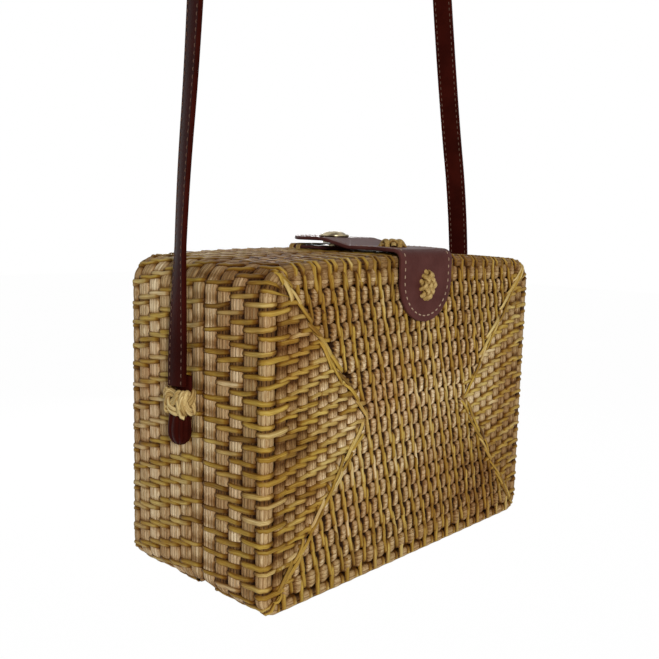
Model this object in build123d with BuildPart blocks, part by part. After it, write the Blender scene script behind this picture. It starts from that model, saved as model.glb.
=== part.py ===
"""Woven cane box bag that opens like a clam shell, in millimetres.

The bag stands on its base at Z = 0 with its front towards -Y.  Two trays of coiled cane, a
shallow front one and a deeper back one, meet at a seam that runs round the ends.  They
hinge on their bottom rim rods and close over the top with a leather strip and a snap.
"""

import os
from math import atan2, degrees, hypot, radians, sqrt, tan

from build123d import *

# Body of the bag
WIDTH = 200.0
END_HEIGHT = 145.0
TOP_CROWN = 4.0
DEPTH = 95.0
BASE_CORNER_R = 10.0
TOP_CORNER_R = 14.0
SEAM_Y = -7.0
SEAM_GAP = 0.3
WALL = 5.2
BASE_FLAT = 1.0

# Coils of cane
COIL_RISE = 1.6
EDGE_COIL_R = 3.5
FRONT_SIDE_COILS = 4
BACK_SIDE_COILS = 6
FACE_COILS = 9
CENTRE_CORE_HALF = 38.0
COIL_FLAT_SHARES = ((0.14, 1.0), (0.86, 1.0), (1.0, 0.0))
MITRE_WIDTH = 5.2
MITRE_RISE = 0.4

# Rim rods, hinge bindings and lining
RIM_R = 2.5
RIM_INSET = 4.6
RIM_OVERLAP = 2.25
RIM_SEAT = 0.1
LIP_DEPTH = 1.6
LIP_BASE_Z = 8.0
BINDING_THICKNESS = 0.9
BINDING_WIDTH = 4.2
BINDING_TURNS = 2
BINDING_SPLIT = 0.4
BINDING_X_SHARE = 0.62
PIN_CLEARANCE = 0.1
NOTCH_CLEARANCE = 0.6
LINING = 0.8
LINING_GAP = 0.3
LINING_SETBACK = 1.5

# Leather closure
TAB_WIDTH = 40.0
LEATHER = 1.8
SURFACE_GAP = 0.3
TAB_DROP = 31.0
FOLD_Y = -16.0
FOLD_GAP = 0.3
FLAP_END_Y = 31.0
FLAP_LIFT = 4.3
FLAP_RISE_END_Y = 1.0
TONGUE_WIDTH = 26.0
TONGUE_END_Y = 33.0
TONGUE_LEATHER = 1.6
TONGUE_CORNER_R = 4.0

# Snap
SNAP_Y = 11.0
CAP_R = 7.7
CAP_HEIGHT = 3.4
CAP_BEVEL = 1.6
SHANK_R = 2.0
SHANK_CLEARANCE = 0.05
SOCKET_R = 6.0
SOCKET_HOLE_R = 3.4
SOCKET_HEIGHT = 1.2
STUD_FLANGE = 0.4
STUD_R = 2.9
STUD_BEVEL = 0.3
SNAP_GAP = 0.3

# Cane knots and lashing
KNOT_STRIP = 3.4
KNOT_STRIP_GAP = 0.7
KNOT_STRIPS = 3
KNOT_LAYER = 1.5
FRONT_KNOT_DROP = 14.5
TOP_KNOT_Y = -28.0
LASHING_WIDTH = 2.6
LASHING_THICKNESS = 0.8
LASHING_GAP = 0.1
LASHING_Y = (23.5, 28.5)

# Shoulder strap and its ends
STRAP_WIDTH = 11.0
STRAP_LEATHER = 2.2
STRAP_Y = 2.5
PLY_GAP = 0.5
KNOT_SHELL = 1.6
STRAP_KNOT_TOP = 91.0
STRAP_KNOT_HEIGHT = 12.5
STRAP_KNOT_WIDTH = 17.0
STRAP_KNOT_ROUNDING = 2.0
STRAP_KNOT_RIB = 1.0
STRAP_BULB_WIDTH = 13.0
STRAP_BULB_DEPTH = 8.0
STRAP_BULB_DROP = 14.0
STRAP_BULB_BEVEL = 1.6
STRAP_STUB = 5.0
FIT = 0.05
RUN_SHARE = 0.45
STRAP_TOP_ROUTE = (
    (-73.0, 26.0, 496.0),
    (-34.0, 29.0, 552.0),
    (34.0, 29.0, 552.0),
    (73.0, 26.0, 496.0),
)

HALF_WIDTH = WIDTH / 2
FRONT_Y = -DEPTH / 2
BACK_Y = DEPTH / 2
TOP_Z = END_HEIGHT + TOP_CROWN
CENTRE_Z = TOP_Z / 2
CROWN_R = (HALF_WIDTH**2 + TOP_CROWN**2) / (2 * TOP_CROWN)
EDGE_COIL = EDGE_COIL_R + sqrt(EDGE_COIL_R**2 - (EDGE_COIL_R - COIL_RISE) ** 2)
FRONT_RIM_Y = SEAM_Y - SEAM_GAP / 2 - RIM_R
BACK_RIM_Y = SEAM_Y + SEAM_GAP / 2 + RIM_R
RIM_Z = RIM_INSET - BASE_FLAT
BINDING_X = BINDING_X_SHARE * HALF_WIDTH
BINDING_R = RIM_R + PIN_CLEARANCE + BINDING_THICKNESS
STRIP_MID_Z = TOP_Z + SURFACE_GAP + LEATHER / 2
FLAP_MID_Z = STRIP_MID_Z + FLAP_LIFT
TONGUE_TOP = TOP_Z + SURFACE_GAP + TONGUE_LEATHER
STUB_X = HALF_WIDTH + SURFACE_GAP + KNOT_SHELL + STRAP_LEATHER / 2
LEG_X = STUB_X + STRAP_LEATHER + PLY_GAP
STRAP_ROUTE = (
    (-LEG_X, STRAP_Y, STRAP_KNOT_TOP + SURFACE_GAP),
    *STRAP_TOP_ROUTE,
    (LEG_X, STRAP_Y, STRAP_KNOT_TOP + SURFACE_GAP),
)

os.makedirs("parts", exist_ok=True)


def plane_at(y):
    """Plane at depth y that faces the front, with X to the right and Z up."""
    return Plane(origin=(0, y, 0), x_dir=(1, 0, 0), z_dir=(0, -1, 0))


def frame_points(inset):
    """Corner points and crown of the bag's front outline, moved inwards by inset."""
    half = HALF_WIDTH - inset
    low = inset - BASE_FLAT
    crown = TOP_Z - inset
    radius = CROWN_R - inset
    high = crown - radius + sqrt(radius**2 - half**2)
    return half, low, high, crown


def round_corners(path, inset, upright):
    """Round the outline's corners; upright is the axis that runs up the bag in path."""
    for place, radius in ((0, BASE_CORNER_R), (-1, TOP_CORNER_R)):
        level = path.vertices().group_by(upright)[place]
        fillet([v for v in level if abs(v.X) > 1], radius - inset)


def outline(inset):
    """Front outline of the bag, moved inwards by inset, in the current sketch."""
    half, low, high, crown = frame_points(inset)
    with BuildLine() as edge:
        Polyline((-half, high), (-half, low), (half, low), (half, high))
        ThreePointArc((half, high), (0, crown), (-half, high))
        round_corners(edge, inset, Axis.Y)
    make_face(edge.edges())


def ring_path(inset, y):
    """Closed line round the bag at depth y, starting in the middle of the base."""
    half, low, high, crown = frame_points(inset)
    with BuildLine(plane_at(y)) as path:
        Polyline((0, low), (half, low), (half, high))
        ThreePointArc((half, high), (0, crown), (-half, high))
        Polyline((-half, high), (-half, low), (0, low))
        round_corners(path, inset, Axis.Z)
    return path.wires()[0]


def side_wall(rim_y, face_y, coils):
    """Side wall of one tray: its section, coils down, swept round the bag."""
    way = 1 if face_y > rim_y else -1
    crest = -BASE_FLAT
    valley = crest + COIL_RISE
    inner = crest + WALL
    lip = RIM_Z - LIP_DEPTH
    mouth = rim_y - way * RIM_R
    seat = rim_y + way * RIM_OVERLAP
    edge_start = face_y - way * EDGE_COIL
    pitch = (edge_start - mouth) / coils
    knee = EDGE_COIL_R * (1 - sqrt(0.5))
    with BuildPart() as wall:
        with BuildSketch(Plane.YZ):
            with BuildLine():
                Polyline(
                    (seat, inner),
                    (seat, lip),
                    (mouth, lip),
                    (mouth, valley),
                    *[
                        (mouth + (i + share) * pitch, valley - COIL_RISE * height)
                        for i in range(coils)
                        for share, height in COIL_FLAT_SHARES
                    ],
                )
                ThreePointArc(
                    (edge_start, valley),
                    (face_y - way * knee, crest + knee),
                    (face_y - way * COIL_RISE, crest + EDGE_COIL),
                )
                Polyline(
                    (face_y - way * COIL_RISE, crest + EDGE_COIL),
                    (face_y - way * WALL, crest + EDGE_COIL),
                    (face_y - way * WALL, inner),
                    (seat, inner),
                )
            make_face()
        sweep(path=ring_path(0, 0))
    return wall.part


def coil_profile(start, pitch, count, face_y, way):
    """Flat-sided outline of a row of cores: (distance, depth) points from start."""
    points = [(start, face_y - way * COIL_RISE)]
    for i in range(count):
        for share, height in COIL_FLAT_SHARES:
            points.append((start + (i + share) * pitch, face_y - way * COIL_RISE * (1 - height)))
    return points


def long_coils(face_y, way, reach_x, reach_z):
    """Ridges of the cores that run along X, over the full height of a face."""
    root = face_y - way * (WALL + COIL_RISE) / 2
    start = CENTRE_Z - reach_z
    ridges = coil_profile(start, reach_z / FACE_COILS, 2 * FACE_COILS, face_y, way)
    with BuildPart() as coils:
        with BuildSketch(Plane.YZ):
            with BuildLine():
                Polyline(
                    *[(depth, height) for height, depth in ridges],
                    (root, start + 2 * reach_z),
                    (root, start),
                    close=True,
                )
            make_face()
        extrude(amount=reach_x, both=True)
    return coils.part


def end_coils(face_y, way, reach_x, reach_z, side):
    """Ridges of the cores that run up the face between one end and the centre core."""
    root = face_y - way * (WALL + COIL_RISE) / 2
    start = side * CENTRE_CORE_HALF
    pitch = side * (reach_x - CENTRE_CORE_HALF) / FACE_COILS
    ridges = coil_profile(start, pitch, FACE_COILS, face_y, way)
    with BuildPart() as coils:
        with BuildSketch(Plane.XY.offset(CENTRE_Z)):
            with BuildLine():
                Polyline(*ridges, (side * reach_x, root), (start, root), close=True)
            make_face()
        extrude(amount=reach_z, both=True)
    return coils.part


def mitre_strands(face_y, way, reach_x, reach_z):
    """Raised strands that bind the coils along the four mitres of a face."""
    root = face_y - way * COIL_RISE
    run_x = reach_x - CENTRE_CORE_HALF
    with BuildPart() as strands:
        with BuildSketch(plane_at(root)):
            for side_x in (-1, 1):
                for side_z in (-1, 1):
                    angle = degrees(atan2(side_z * reach_z, side_x * run_x))
                    middle = side_x * (CENTRE_CORE_HALF + run_x / 2)
                    with Locations((middle, CENTRE_Z + side_z * reach_z / 2)):
                        Rectangle(hypot(run_x, reach_z), MITRE_WIDTH, rotation=angle)
        extrude(amount=-way * (COIL_RISE + MITRE_RISE))
    return strands.part


def mitred_coils(face_y, way):
    """Concentric coils of one face, mitred where long and upright cores meet."""
    reach_x = HALF_WIDTH - EDGE_COIL
    reach_z = CENTRE_Z + BASE_FLAT / 2 - EDGE_COIL
    centre = CENTRE_CORE_HALF
    with BuildPart() as face:
        add(long_coils(face_y, way, reach_x, reach_z))
        for side in (-1, 1):
            corners = (
                (side * centre, CENTRE_Z),
                (side * reach_x, CENTRE_Z + reach_z),
                (side * reach_x, CENTRE_Z - reach_z),
            )
            with BuildPart(mode=Mode.PRIVATE) as zone:
                with BuildSketch(plane_at(face_y)):
                    with BuildLine():
                        Polyline(*corners, corners[0])
                    make_face()
                extrude(amount=WALL, both=True)
            add(zone.part, mode=Mode.SUBTRACT)
            add(end_coils(face_y, way, reach_x, reach_z, side) & zone.part)
        add(mitre_strands(face_y, way, reach_x, reach_z))
        with BuildSketch(plane_at(face_y)):
            outline(EDGE_COIL)
        extrude(amount=WALL, both=True, mode=Mode.INTERSECT)
    return face.part


def notch_size():
    """Width and depth of the cut-out that a hinge binding turns in."""
    width = BINDING_TURNS * BINDING_WIDTH + (BINDING_TURNS - 1) * BINDING_SPLIT
    return width + 2 * NOTCH_CLEARANCE, BINDING_R + NOTCH_CLEARANCE


def tray(rim_y, face_y, coils):
    """One half of the bag: side wall, face, seat of the rim rod and hinge cut-outs."""
    way = 1 if face_y > rim_y else -1
    inner_y = face_y - way * WALL
    notch_width, notch_reach = notch_size()
    with BuildPart() as body:
        add(side_wall(rim_y, face_y, coils))
        Box(
            2 * WIDTH,
            2 * DEPTH,
            2 * BASE_FLAT,
            align=(Align.CENTER, Align.CENTER, Align.MAX),
            mode=Mode.SUBTRACT,
        )
        with Locations((0, rim_y + way * (RIM_OVERLAP - RIM_R) / 2, 0)):
            Box(2 * WIDTH, RIM_R + RIM_OVERLAP, 2 * LIP_BASE_Z, mode=Mode.SUBTRACT)
        add(rim_rod(rim_y, RIM_R + RIM_SEAT), mode=Mode.SUBTRACT)
        with Locations(*[(side * BINDING_X, rim_y, RIM_Z) for side in (-1, 1)]):
            Box(notch_width, 2 * notch_reach, 2 * notch_reach, mode=Mode.SUBTRACT)
        with BuildSketch(plane_at(inner_y)):
            outline((WALL + EDGE_COIL) / 2)
        extrude(amount=-way * (WALL - COIL_RISE))
        add(mitred_coils(face_y, way))
    return body.part


def rim_rod(rim_y, radius):
    """Round rod round the mouth of a tray."""
    with BuildPart() as rod:
        with BuildSketch(Plane.YZ):
            with Locations((rim_y, RIM_Z)):
                Circle(radius)
        sweep(path=ring_path(RIM_INSET, rim_y))
    return rod.part


def lining(rim_y, face_y):
    """Cloth lining of one tray, a thin open box just inside the cane."""
    way = 1 if face_y > rim_y else -1
    mouth_y = rim_y + way * (RIM_R + LINING_SETBACK)
    outer = WALL + LINING_GAP
    outer_y = face_y - way * outer
    depth = abs(outer_y - mouth_y)
    with BuildPart() as cloth:
        with BuildSketch(plane_at(mouth_y)):
            outline(outer)
        extrude(amount=-way * depth)
        with BuildSketch(plane_at(mouth_y)):
            outline(outer + LINING)
        extrude(amount=-way * (depth - LINING), mode=Mode.SUBTRACT)
    return cloth.part


def hinge_binding(side):
    """Turns of flat cane round both bottom rods; the front rod turns inside them."""
    step = BINDING_WIDTH + BINDING_SPLIT
    first = side * BINDING_X - (BINDING_TURNS - 1) * step / 2 - BINDING_WIDTH / 2
    span = BACK_RIM_Y - FRONT_RIM_Y
    with BuildPart() as binding:
        for i in range(BINDING_TURNS):
            with BuildSketch(Plane.YZ.offset(first + i * step)):
                with Locations(((FRONT_RIM_Y + BACK_RIM_Y) / 2, RIM_Z)):
                    SlotCenterToCenter(span, 2 * BINDING_R)
                    SlotCenterToCenter(span, 2 * (RIM_R + PIN_CLEARANCE), mode=Mode.SUBTRACT)
            extrude(amount=BINDING_WIDTH)
    return binding.part


def woven_knot(strips, strip_width, gap, layer):
    """Flat plaited knot on XY: two crossing layers of cane strips, centred at the origin."""
    pitch = strip_width + gap
    length = strips * pitch - gap
    with BuildPart() as knot:
        with GridLocations(0, pitch, 1, strips):
            Box(length, strip_width, layer, align=(Align.CENTER, Align.CENTER, Align.MIN))
        with Locations((0, 0, layer)):
            with GridLocations(pitch, 0, strips, 1):
                Box(strip_width, length, layer, align=(Align.CENTER, Align.CENTER, Align.MIN))
        chamfer(knot.faces().sort_by(Axis.Z)[-strips:].edges(), layer / 3)
    return knot.part


with BuildPart() as back_shell:
    add(tray(BACK_RIM_Y, BACK_Y, BACK_SIDE_COILS))
back_shell.part.label = "back_shell"
export_step(back_shell.part, "parts/back_shell.step")

with BuildPart() as front_shell:
    add(tray(FRONT_RIM_Y, FRONT_Y, FRONT_SIDE_COILS))
front_shell.part.label = "front_shell"
export_step(front_shell.part, "parts/front_shell.step")

with BuildPart() as back_rim:
    add(rim_rod(BACK_RIM_Y, RIM_R))
back_rim.part.label = "back_rim"
export_step(back_rim.part, "parts/back_rim.step")

with BuildPart() as front_rim:
    add(rim_rod(FRONT_RIM_Y, RIM_R))
front_rim.part.label = "front_rim"
export_step(front_rim.part, "parts/front_rim.step")

with BuildPart() as back_lining:
    add(lining(BACK_RIM_Y, BACK_Y))
back_lining.part.label = "back_lining"
export_step(back_lining.part, "parts/back_lining.step")

with BuildPart() as front_lining:
    add(lining(FRONT_RIM_Y, FRONT_Y))
front_lining.part.label = "front_lining"
export_step(front_lining.part, "parts/front_lining.step")

with BuildPart() as hinge_binding_left:
    add(hinge_binding(-1))
hinge_binding_left.part.label = "hinge_binding_left"
export_step(hinge_binding_left.part, "parts/hinge_binding_left.step")

with BuildPart() as hinge_binding_right:
    add(hinge_binding(1))
hinge_binding_right.part.label = "hinge_binding_right"
export_step(hinge_binding_right.part, "parts/hinge_binding_right.step")

# The closure tab hangs over the front edge and ends at the fold of the flap.
with BuildPart() as closure_tab:
    tab_y = FRONT_Y - SURFACE_GAP - LEATHER / 2
    bend_r = EDGE_COIL_R + SURFACE_GAP + LEATHER / 2
    tab_end_z = TOP_Z - TAB_DROP
    with BuildSketch(Plane.YZ):
        with BuildLine():
            Line((tab_y, tab_end_z), (tab_y, STRIP_MID_Z - bend_r))
            RadiusArc((tab_y, STRIP_MID_Z - bend_r), (tab_y + bend_r, STRIP_MID_Z), bend_r)
            Line((tab_y + bend_r, STRIP_MID_Z), (FOLD_Y - LEATHER - FOLD_GAP, STRIP_MID_Z))
            offset(amount=LEATHER / 2)
        make_face()
    extrude(amount=TAB_WIDTH / 2, both=True)
    with BuildSketch(plane_at(0)):
        with Locations((0, tab_end_z + TAB_WIDTH / 2)):
            Circle(TAB_WIDTH / 2)
            Rectangle(TAB_WIDTH, TAB_WIDTH, align=(Align.CENTER, Align.MIN))
    extrude(amount=DEPTH, both=True, mode=Mode.INTERSECT)
closure_tab.part.label = "closure_tab"
export_step(closure_tab.part, "parts/closure_tab.step")

with BuildPart() as closure_flap:
    with BuildSketch(Plane.YZ):
        with BuildLine():
            Polyline(
                (FOLD_Y, STRIP_MID_Z),
                (FLAP_RISE_END_Y, FLAP_MID_Z),
                (FLAP_END_Y, FLAP_MID_Z),
            )
            offset(amount=LEATHER / 2)
        make_face()
    extrude(amount=TAB_WIDTH / 2, both=True)
    with BuildSketch(Plane.XY.offset(TOP_Z)):
        with Locations((0, FLAP_END_Y - TAB_WIDTH / 2)):
            Circle(TAB_WIDTH / 2)
            Rectangle(TAB_WIDTH, TAB_WIDTH, align=(Align.CENTER, Align.MAX))
    extrude(amount=TAB_WIDTH, mode=Mode.INTERSECT)
    with Locations((0, SNAP_Y, FLAP_MID_Z)):
        Hole(SHANK_R + SHANK_CLEARANCE, depth=LEATHER)
closure_flap.part.label = "closure_flap"
export_step(closure_flap.part, "parts/closure_flap.step")

with BuildPart() as snap_cap:
    with Locations((0, SNAP_Y, FLAP_MID_Z + LEATHER / 2)):
        Cylinder(CAP_R, CAP_HEIGHT, align=(Align.CENTER, Align.CENTER, Align.MIN))
    chamfer(snap_cap.edges().sort_by(Axis.Z)[-1], CAP_BEVEL, 2 * CAP_BEVEL)
    with Locations((0, SNAP_Y, FLAP_MID_Z + LEATHER / 2)):
        Cylinder(SHANK_R, LEATHER, align=(Align.CENTER, Align.CENTER, Align.MAX))
snap_cap.part.label = "snap_cap"
export_step(snap_cap.part, "parts/snap_cap.step")

with BuildPart() as snap_socket:
    with Locations((0, SNAP_Y, FLAP_MID_Z - LEATHER / 2)):
        Cylinder(SOCKET_R, SOCKET_HEIGHT, align=(Align.CENTER, Align.CENTER, Align.MAX))
    with Locations((0, SNAP_Y, FLAP_MID_Z - LEATHER / 2 - SOCKET_HEIGHT)):
        Cylinder(
            SOCKET_HOLE_R,
            SOCKET_HEIGHT - STUD_FLANGE,
            align=(Align.CENTER, Align.CENTER, Align.MIN),
            mode=Mode.SUBTRACT,
        )
snap_socket.part.label = "snap_socket"
export_step(snap_socket.part, "parts/snap_socket.step")

# The tongue lies on the top of the back tray and carries the stud.
with BuildPart() as back_tongue:
    with BuildSketch(Plane.XY.offset(TOP_Z + SURFACE_GAP)):
        with Locations((0, SNAP_Y)):
            Circle(TONGUE_WIDTH / 2)
        with BuildSketch(Plane.XY.offset(TOP_Z + SURFACE_GAP), mode=Mode.PRIVATE) as rear:
            with Locations((0, TONGUE_END_Y)):
                Rectangle(
                    TONGUE_WIDTH,
                    TONGUE_END_Y - SNAP_Y,
                    align=(Align.CENTER, Align.MAX),
                )
            fillet(rear.vertices().group_by(Axis.Y)[-1], TONGUE_CORNER_R)
        add(rear.sketch)
    extrude(amount=TONGUE_LEATHER)
    with Locations((0, SNAP_Y, TONGUE_TOP)):
        Hole(SHANK_R + SHANK_CLEARANCE)
back_tongue.part.label = "back_tongue"
export_step(back_tongue.part, "parts/back_tongue.step")

with BuildPart() as snap_stud:
    stud_top = FLAP_MID_Z - LEATHER / 2 - SOCKET_HEIGHT - SNAP_GAP
    with Locations((0, SNAP_Y, TONGUE_TOP)):
        Cylinder(STUD_R, stud_top - TONGUE_TOP, align=(Align.CENTER, Align.CENTER, Align.MIN))
    chamfer(snap_stud.edges().sort_by(Axis.Z)[-1], STUD_BEVEL)
    with Locations((0, SNAP_Y, TONGUE_TOP)):
        Cylinder(SOCKET_R, STUD_FLANGE, align=(Align.CENTER, Align.CENTER, Align.MIN))
        Cylinder(SHANK_R, TONGUE_LEATHER, align=(Align.CENTER, Align.CENTER, Align.MAX))
snap_stud.part.label = "snap_stud"
export_step(snap_stud.part, "parts/snap_stud.step")

# Two staples of flat cane hold the tongue down.
with BuildPart() as tongue_lashing:
    lashing_half = TONGUE_WIDTH / 2 + LASHING_GAP
    for lashing_y in LASHING_Y:
        with BuildSketch(Plane.XZ.offset(-lashing_y)):
            with Locations((0, TOP_Z + SURFACE_GAP)):
                Rectangle(
                    2 * (lashing_half + LASHING_THICKNESS),
                    TONGUE_LEATHER + LASHING_THICKNESS,
                    align=(Align.CENTER, Align.MIN),
                )
                Rectangle(
                    2 * lashing_half,
                    TONGUE_LEATHER,
                    align=(Align.CENTER, Align.MIN),
                    mode=Mode.SUBTRACT,
                )
        extrude(amount=LASHING_WIDTH / 2, both=True)
tongue_lashing.part.label = "tongue_lashing"
export_step(tongue_lashing.part, "parts/tongue_lashing.step")

with BuildPart() as front_knot:
    knot = woven_knot(KNOT_STRIPS, KNOT_STRIP, KNOT_STRIP_GAP, KNOT_LAYER)
    add(plane_at(FRONT_Y - SURFACE_GAP - LEATHER).location * knot.moved(
        Location((0, TOP_Z - FRONT_KNOT_DROP, 0), (0, 0, 45))))
front_knot.part.label = "front_knot"
export_step(front_knot.part, "parts/front_knot.step")

with BuildPart() as top_knot:
    knot = woven_knot(KNOT_STRIPS, KNOT_STRIP, KNOT_STRIP_GAP, KNOT_LAYER)
    add(knot.moved(Location((0, TOP_KNOT_Y, STRIP_MID_Z + LEATHER / 2), (0, 0, 45))))
top_knot.part.label = "top_knot"
export_step(top_knot.part, "parts/top_knot.step")


def strap_knot(side):
    """Cane knot round the folded strap end, with a crossed pair of ribs on its outside."""
    inner_x = HALF_WIDTH + SURFACE_GAP
    depth = 2 * KNOT_SHELL + 2 * STRAP_LEATHER + PLY_GAP
    middle_z = STRAP_KNOT_TOP - STRAP_KNOT_HEIGHT / 2
    rib_angle = 35.0
    rib_length = STRAP_KNOT_WIDTH - 2 * STRAP_KNOT_ROUNDING
    with BuildPart() as knot:
        with BuildSketch(Plane.XY.offset(STRAP_KNOT_TOP)):
            with Locations((side * (inner_x + depth / 2), STRAP_Y)):
                RectangleRounded(depth, STRAP_KNOT_WIDTH, STRAP_KNOT_ROUNDING)
                Rectangle(
                    2 * STRAP_LEATHER + PLY_GAP + 2 * FIT,
                    STRAP_WIDTH + 2 * FIT,
                    mode=Mode.SUBTRACT,
                )
        extrude(amount=-STRAP_KNOT_HEIGHT)
        with BuildSketch(Plane(
            origin=(side * (inner_x + depth), STRAP_Y, middle_z),
            x_dir=(0, 1, 0),
            z_dir=(side, 0, 0),
        )):
            for angle in (-rib_angle, rib_angle):
                Rectangle(rib_length, KNOT_STRIP, rotation=angle)
        extrude(amount=STRAP_KNOT_RIB)
    return knot.part


def strap_end(side):
    """Folded end of the strap: two plies through the knot, a stub above, a bulb below."""
    knot_bottom = STRAP_KNOT_TOP - STRAP_KNOT_HEIGHT
    plies_x = (STUB_X + LEG_X) / 2
    bulb_r = STRAP_BULB_WIDTH / 2
    with BuildPart() as end:
        with BuildSketch(Plane.YZ.offset(side * plies_x)):
            with Locations((STRAP_Y, knot_bottom)):
                Rectangle(
                    STRAP_BULB_WIDTH,
                    STRAP_BULB_DROP - bulb_r,
                    align=(Align.CENTER, Align.MAX),
                )
            with Locations((STRAP_Y, knot_bottom - STRAP_BULB_DROP + bulb_r)):
                Circle(bulb_r)
        extrude(amount=STRAP_BULB_DEPTH / 2, both=True)
        flat_sides = end.faces().filter_by(Axis.X)
        chamfer(flat_sides.edges(), STRAP_BULB_BEVEL)
        with Locations((side * plies_x, STRAP_Y, knot_bottom)):
            Box(
                2 * STRAP_LEATHER + PLY_GAP,
                STRAP_WIDTH,
                STRAP_KNOT_HEIGHT,
                align=(Align.CENTER, Align.CENTER, Align.MIN),
            )
        with Locations((side * STUB_X, STRAP_Y, STRAP_KNOT_TOP)):
            Box(
                STRAP_LEATHER,
                STRAP_WIDTH,
                STRAP_STUB,
                align=(Align.CENTER, Align.CENTER, Align.MIN),
            )
    return end.part


with BuildPart() as strap_knot_left:
    add(strap_knot(-1))
strap_knot_left.part.label = "strap_knot_left"
export_step(strap_knot_left.part, "parts/strap_knot_left.step")

with BuildPart() as strap_knot_right:
    add(strap_knot(1))
strap_knot_right.part.label = "strap_knot_right"
export_step(strap_knot_right.part, "parts/strap_knot_right.step")

with BuildPart() as strap_end_left:
    add(strap_end(-1))
strap_end_left.part.label = "strap_end_left"
export_step(strap_end_left.part, "parts/strap_end_left.step")

with BuildPart() as strap_end_right:
    add(strap_end(1))
strap_end_right.part.label = "strap_end_right"
export_step(strap_end_right.part, "parts/strap_end_right.step")


def route_radii(route):
    """Radius of the arc at each inner point, as large as its two runs allow."""
    points = [Vector(*p) for p in route]
    radii = []
    for before, here, after in zip(points, points[1:], points[2:]):
        turn = (here - before).get_angle(after - here)
        run = min((here - before).length, (after - here).length)
        radii.append(RUN_SHARE * run / tan(radians(turn / 2)))
    return radii


with BuildPart() as strap:
    radii = route_radii(STRAP_ROUTE)
    with BuildLine() as strap_line:
        FilletPolyline(*STRAP_ROUTE, radius=radii)
    strap_wire = strap_line.wires()[0]
    with BuildSketch(Plane(origin=STRAP_ROUTE[0], x_dir=(0, 1, 0), z_dir=strap_wire % 0)):
        Rectangle(STRAP_WIDTH, STRAP_LEATHER)
    sweep(path=strap_wire)
print("strap length", round(strap_wire.length, 1), "arc radii", [round(r) for r in radii])
strap.part.label = "strap"
export_step(strap.part, "parts/strap.step")
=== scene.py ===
"""Looks of the woven cane box bag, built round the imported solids.

Sizes are in millimetres, as in the part's source, and become metres when a mesh is made.
Heights over the weave count outwards from the crest of the solid coils.
"""

import math

import bpy
import numpy as np
from mathutils import Matrix, Vector


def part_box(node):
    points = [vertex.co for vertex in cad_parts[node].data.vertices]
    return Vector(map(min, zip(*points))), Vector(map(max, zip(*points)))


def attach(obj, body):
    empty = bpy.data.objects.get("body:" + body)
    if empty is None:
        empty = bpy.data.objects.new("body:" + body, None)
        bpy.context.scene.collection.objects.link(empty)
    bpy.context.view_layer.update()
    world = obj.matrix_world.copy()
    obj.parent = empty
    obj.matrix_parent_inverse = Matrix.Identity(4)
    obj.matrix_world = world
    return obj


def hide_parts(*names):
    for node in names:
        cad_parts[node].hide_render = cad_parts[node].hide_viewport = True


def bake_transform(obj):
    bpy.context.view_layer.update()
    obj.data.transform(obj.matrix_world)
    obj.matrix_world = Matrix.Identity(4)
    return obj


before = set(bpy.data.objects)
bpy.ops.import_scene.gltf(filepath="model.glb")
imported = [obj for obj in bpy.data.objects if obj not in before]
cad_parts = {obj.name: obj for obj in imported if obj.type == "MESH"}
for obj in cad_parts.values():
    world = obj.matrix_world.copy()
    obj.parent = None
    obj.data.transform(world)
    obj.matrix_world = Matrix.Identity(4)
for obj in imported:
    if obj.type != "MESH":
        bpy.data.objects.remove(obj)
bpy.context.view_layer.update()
rng = np.random.default_rng(7)

MM = 0.001

# Body of the bag, as in the part's source
HALF_WIDTH = 100.0
BASE_FLAT = 1.0
TOP_Z = 149.0
TOP_CROWN = 4.0
BASE_CORNER_R = 10.0
TOP_CORNER_R = 14.0
FRONT_Y = -47.5
BACK_Y = 47.5
SEAM_Y = -7.0
SEAM_GAP = 0.3
EDGE_R = 3.5
COIL_RISE = 1.6
FRONT_SIDE_COILS = 4
BACK_SIDE_COILS = 6
FACE_ROWS = 9
LONG_ROWS = 2 * FACE_ROWS
APEX_X = 38.0
CENTRE_Z = TOP_Z / 2
CROWN_R = (HALF_WIDTH**2 + TOP_CROWN**2) / (2 * TOP_CROWN)
EDGE_COIL = EDGE_R + math.sqrt(EDGE_R**2 - (EDGE_R - COIL_RISE) ** 2)
REACH_X = HALF_WIDTH - EDGE_COIL
REACH_Z = CENTRE_Z + BASE_FLAT / 2 - EDGE_COIL

# Under the bag the weave starts BASE_START from the seam, clear of the hinge rods
LIP_CUT_Z = 4.0
BASE_START = 6.5

# Cores: splints side by side, spacing of points, bulge between strips, painted shade beside them
SPLINTS = 4
CORE_STEP = 1.5
SIDE_BULGE = 0.3
LONG_BULGE = 2.0
UPRIGHT_BULGE = 0.6
SEAM_PAINTED_SHADE = 0.3
SIDE_PAINTED_SHADE = 0.85
LONG_PAINTED_SHADE = 2.3
LONG_PAINTED_SHADE_OUTER = 0.6
UPRIGHT_PAINTED_SHADE = 1.0
UPRIGHT_PAINTED_SHADE_OUTER = 0.5

# Strips of cane over pairs of coils: pitch, shift per row as a share of it, width and slant
FACE_PITCH = 7.85
SIDE_PITCH = 9.7
STAIR_SHIFT = 0.27
STRIP_JITTER = 0.25
STRIP_WIDTH = 2.2
STRIP_SLANT = 1.2
SIDE_WIDEN = 1.18
SIDE_LEAN = 1.3
LONG_LEAN = 2.5
UPRIGHT_WIDEN = 1.2
UPRIGHT_LEAN = 0.7

# Share of the strands along the mitres that is left out
LEFT_OUT = 0.2

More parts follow.
